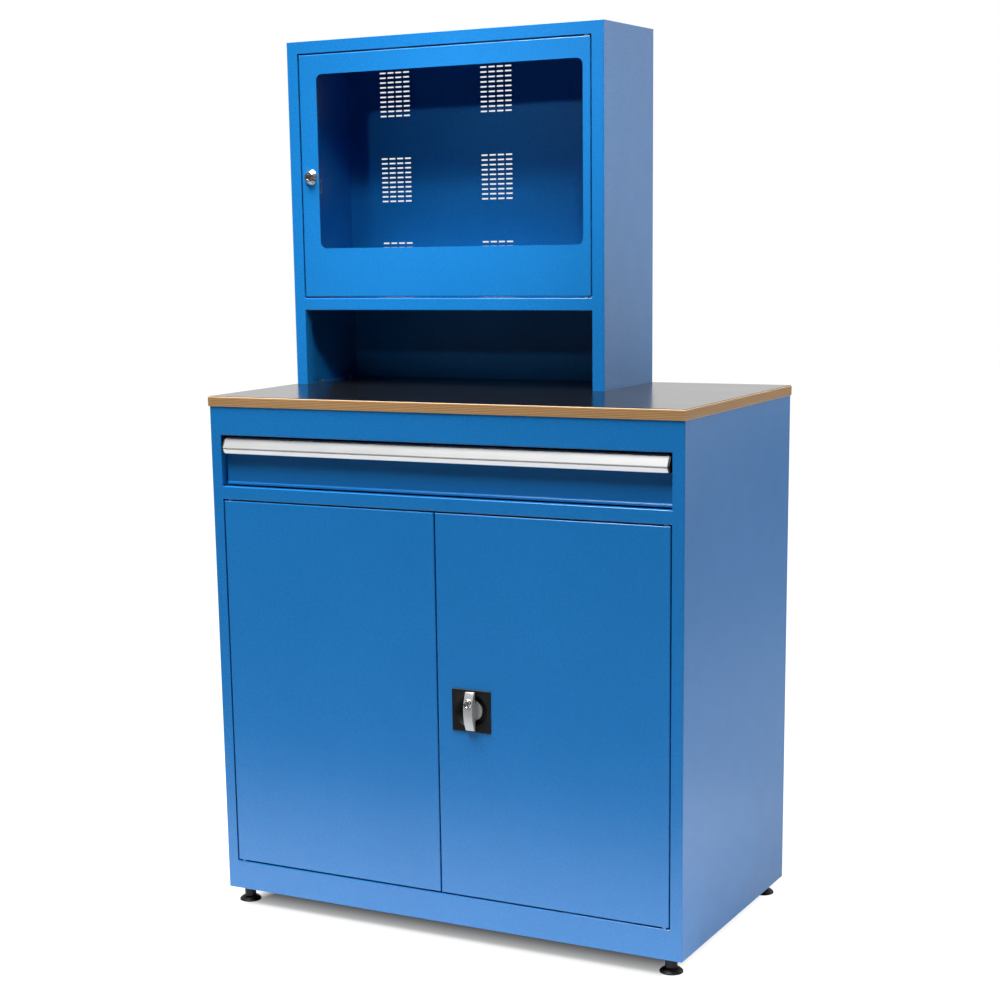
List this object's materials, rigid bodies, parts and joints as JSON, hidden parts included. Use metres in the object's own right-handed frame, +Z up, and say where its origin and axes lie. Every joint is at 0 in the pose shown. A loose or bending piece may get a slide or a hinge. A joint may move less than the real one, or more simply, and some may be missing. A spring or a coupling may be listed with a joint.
{
  "type": "workshop computer cabinet",
  "caption": "Steel workshop cabinet with hinged doors, a wide drawer, a worktop and a lockable, vented screen housing with a clear window over an open keyboard bay.",
  "frame": {"origin": "on the floor, under the centre of the bounding box", "axes": "+Z up, the front with the doors faces -Y, +X to the right as seen from the front"},
  "size_m": [1.004, 0.568, 1.7272],
  "materials": {
    "blue_paint": "fine powder coat, satin",
    "plywood": "bare layered edge",
    "dark_laminate": "satin",
    "satin_aluminium": "satin anodised",
    "black_plastic": "matte",
    "zinc_steel": "zinc plated",
    "silver_casting": "silver lacquered casting",
    "lock_chrome": "polished",
    "white_nylon": "matte",
    "clear_pane": "clear"
  },
  "bodies": {
    "cabinet": {"left_side_panel": "blue_paint", "right_side_panel": "blue_paint", "back_panel": "blue_paint", "cabinet_floor": "blue_paint", "plinth_rail": "blue_paint", "middle_rail": "blue_paint", "top_rail": "blue_paint", "rear_rail": "blue_paint", "worktop_core": "plywood", "worktop_laminate": "dark_laminate", "worktop_screws": "zinc_steel", "foot_plates": "zinc_steel", "foot_nuts": "zinc_steel", "shelf": "blue_paint", "shelf_clips": "zinc_steel", "door_bushes": "white_nylon", "slide_brackets": "zinc_steel", "slide_outer_left": "zinc_steel", "slide_outer_right": "zinc_steel", "catch_magnet": "black_plastic", "housing_left_side": "blue_paint", "housing_right_side": "blue_paint", "housing_top": "blue_paint", "housing_back": "blue_paint", "housing_deck": "blue_paint", "housing_bolts": "zinc_steel", "screen_door_bushes": "white_nylon"},
    "drawer": {"drawer_tray": "blue_paint", "drawer_front": "blue_paint", "drawer_handle": "satin_aluminium", "drawer_end_caps": "black_plastic", "slide_inner_left": "zinc_steel", "slide_inner_right": "zinc_steel"},
    "slide_middle_left": {"slide_middle_left": "zinc_steel"},
    "slide_middle_right": {"slide_middle_right": "zinc_steel"},
    "left_door": {"left_door": "blue_paint", "left_door_pivots": "zinc_steel", "catch_strike": "zinc_steel"},
    "right_door": {"right_door": "blue_paint", "right_door_pivots": "zinc_steel", "lock_dish": "black_plastic", "rod_guides": "white_nylon"},
    "turn_handle": {"turn_handle": "silver_casting", "cam_plate": "zinc_steel"},
    "lock_barrel": {"lock_barrel": "lock_chrome"},
    "upper_rod": {"upper_rod": "zinc_steel"},
    "lower_rod": {"lower_rod": "zinc_steel"},
    "screen_door": {"screen_door": "blue_paint", "window_pane": "clear_pane", "pane_clips": "zinc_steel", "screen_door_pivots": "zinc_steel", "cam_lock_body": "lock_chrome", "cam_lock_nut": "zinc_steel"},
    "cam_lock": {"cam_lock_plug": "lock_chrome", "cam_tongue": "zinc_steel"},
    "foot_front_left": {"foot_front_left": "black_plastic"},
    "foot_front_right": {"foot_front_right": "black_plastic"},
    "foot_rear_left": {"foot_rear_left": "black_plastic"},
    "foot_rear_right": {"foot_rear_right": "black_plastic"}
  },
  "joints": [
    {"name": "drawer_slide", "type": "slide", "parent": "cabinet", "child": "drawer", "axis": [0, -1, 0], "range_m": [0, 0.44]},
    {"name": "slide_middle_left_run", "type": "slide", "parent": "cabinet", "child": "slide_middle_left", "axis": [0, -1, 0], "range_m": [0, 0.22]},
    {"name": "slide_middle_right_run", "type": "slide", "parent": "cabinet", "child": "slide_middle_right", "axis": [0, -1, 0], "range_m": [0, 0.22]},
    {"name": "left_door_hinge", "type": "hinge", "parent": "cabinet", "child": "left_door", "pos_m": [-0.4635, -0.2585, 0.4635], "axis": [0, 0, -1], "range_deg": [0, 110]},
    {"name": "right_door_hinge", "type": "hinge", "parent": "cabinet", "child": "right_door", "pos_m": [0.4635, -0.2585, 0.4635], "axis": [0, 0, 1], "range_deg": [0, 110]},
    {"name": "turn_handle_turn", "type": "hinge", "parent": "right_door", "child": "turn_handle", "pos_m": [0.073, -0.266, 0.4615], "axis": [0, -1, 0], "range_deg": [0, 90]},
    {"name": "key_turn", "type": "hinge", "parent": "turn_handle", "child": "lock_barrel", "pos_m": [0.073, -0.279, 0.4785], "axis": [0, -1, 0], "range_deg": [0, 90]},
    {"name": "upper_rod_slide", "type": "slide", "parent": "right_door", "child": "upper_rod", "axis": [0, 0, 1], "range_m": [0, 0.0156]},
    {"name": "lower_rod_slide", "type": "slide", "parent": "right_door", "child": "lower_rod", "axis": [0, 0, -1], "range_m": [0, 0.0156]},
    {"name": "screen_door_hinge", "type": "hinge", "parent": "cabinet", "child": "screen_door", "pos_m": [0.1698, 0.0535, 1.46025], "axis": [0, 0, 1], "range_deg": [0, 110]},
    {"name": "cam_lock_turn", "type": "hinge", "parent": "screen_door", "child": "cam_lock", "pos_m": [-0.4453, 0.05, 1.46025], "axis": [0, 1, 0], "range_deg": [0, 90]},
    {"name": "foot_front_left_level", "type": "slide", "parent": "cabinet", "child": "foot_front_left", "axis": [0, 0, -1], "range_m": [0, 0.015]},
    {"name": "foot_front_right_level", "type": "slide", "parent": "cabinet", "child": "foot_front_right", "axis": [0, 0, -1], "range_m": [0, 0.015]},
    {"name": "foot_rear_left_level", "type": "slide", "parent": "cabinet", "child": "foot_rear_left", "axis": [0, 0, -1], "range_m": [0, 0.015]},
    {"name": "foot_rear_right_level", "type": "slide", "parent": "cabinet", "child": "foot_rear_right", "axis": [0, 0, -1], "range_m": [0, 0.015]}
  ],
  "couplings": [
    {"joint": "slide_middle_left_run", "follows": "drawer_slide", "ratio": 0.5},
    {"joint": "slide_middle_right_run", "follows": "drawer_slide", "ratio": 0.5},
    {"joint": "upper_rod_slide", "follows": "turn_handle_turn", "m_per_rad": 0.0099035},
    {"joint": "lower_rod_slide", "follows": "turn_handle_turn", "m_per_rad": 0.0099035}
  ]
}
